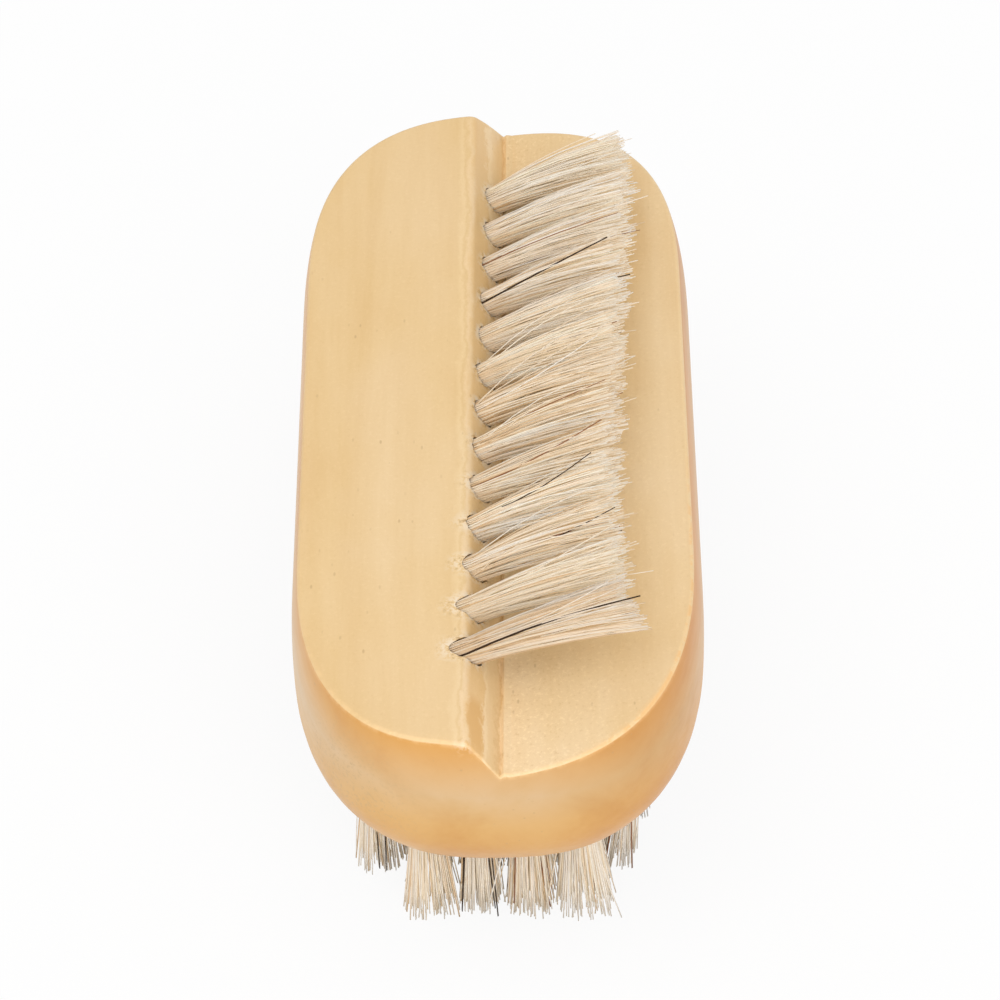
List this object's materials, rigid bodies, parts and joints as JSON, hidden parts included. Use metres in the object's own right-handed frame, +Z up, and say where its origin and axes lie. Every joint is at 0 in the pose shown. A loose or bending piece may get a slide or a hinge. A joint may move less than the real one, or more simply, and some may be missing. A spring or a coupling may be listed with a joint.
{
  "type": "nail brush",
  "caption": "Oval wooden nail brush with a field of bristle tufts below and a slanting row of tufts set in a notch along its top.",
  "frame": {"origin": "under the middle of the block, in the plane of the lower bristles' tips, which the brush stands on", "axes": "+X to the side that the top row leans to, +Y along the brush, +Z up"},
  "size_m": [0.041, 0.093, 0.0428],
  "materials": {
    "wood": "satin clear lacquer on pale maple",
    "top_bristle": "ivory natural bristle with a few dark hairs",
    "lower_bristle": "ivory natural bristle with a few dark hairs",
    "anchor_wire": "drawn flat wire"
  },
  "bodies": {
    "root": {"block": "wood", "top_tuft_01": "top_bristle", "top_tuft_02": "top_bristle", "top_tuft_03": "top_bristle", "top_tuft_04": "top_bristle", "top_tuft_05": "top_bristle", "top_tuft_06": "top_bristle", "top_tuft_07": "top_bristle", "top_tuft_08": "top_bristle", "top_tuft_09": "top_bristle", "top_tuft_10": "top_bristle", "top_tuft_11": "top_bristle", "top_tuft_12": "top_bristle", "top_tuft_13": "top_bristle", "lower_row_01": "lower_bristle", "lower_row_02": "lower_bristle", "lower_row_03": "lower_bristle", "lower_row_04": "lower_bristle", "lower_row_05": "lower_bristle", "lower_row_06": "lower_bristle", "lower_row_07": "lower_bristle", "lower_row_08": "lower_bristle", "lower_row_09": "lower_bristle", "lower_row_10": "lower_bristle", "lower_row_11": "lower_bristle", "lower_row_12": "lower_bristle", "lower_row_13": "lower_bristle", "top_staples": "anchor_wire", "lower_staples": "anchor_wire"}
  },
  "joints": []
}
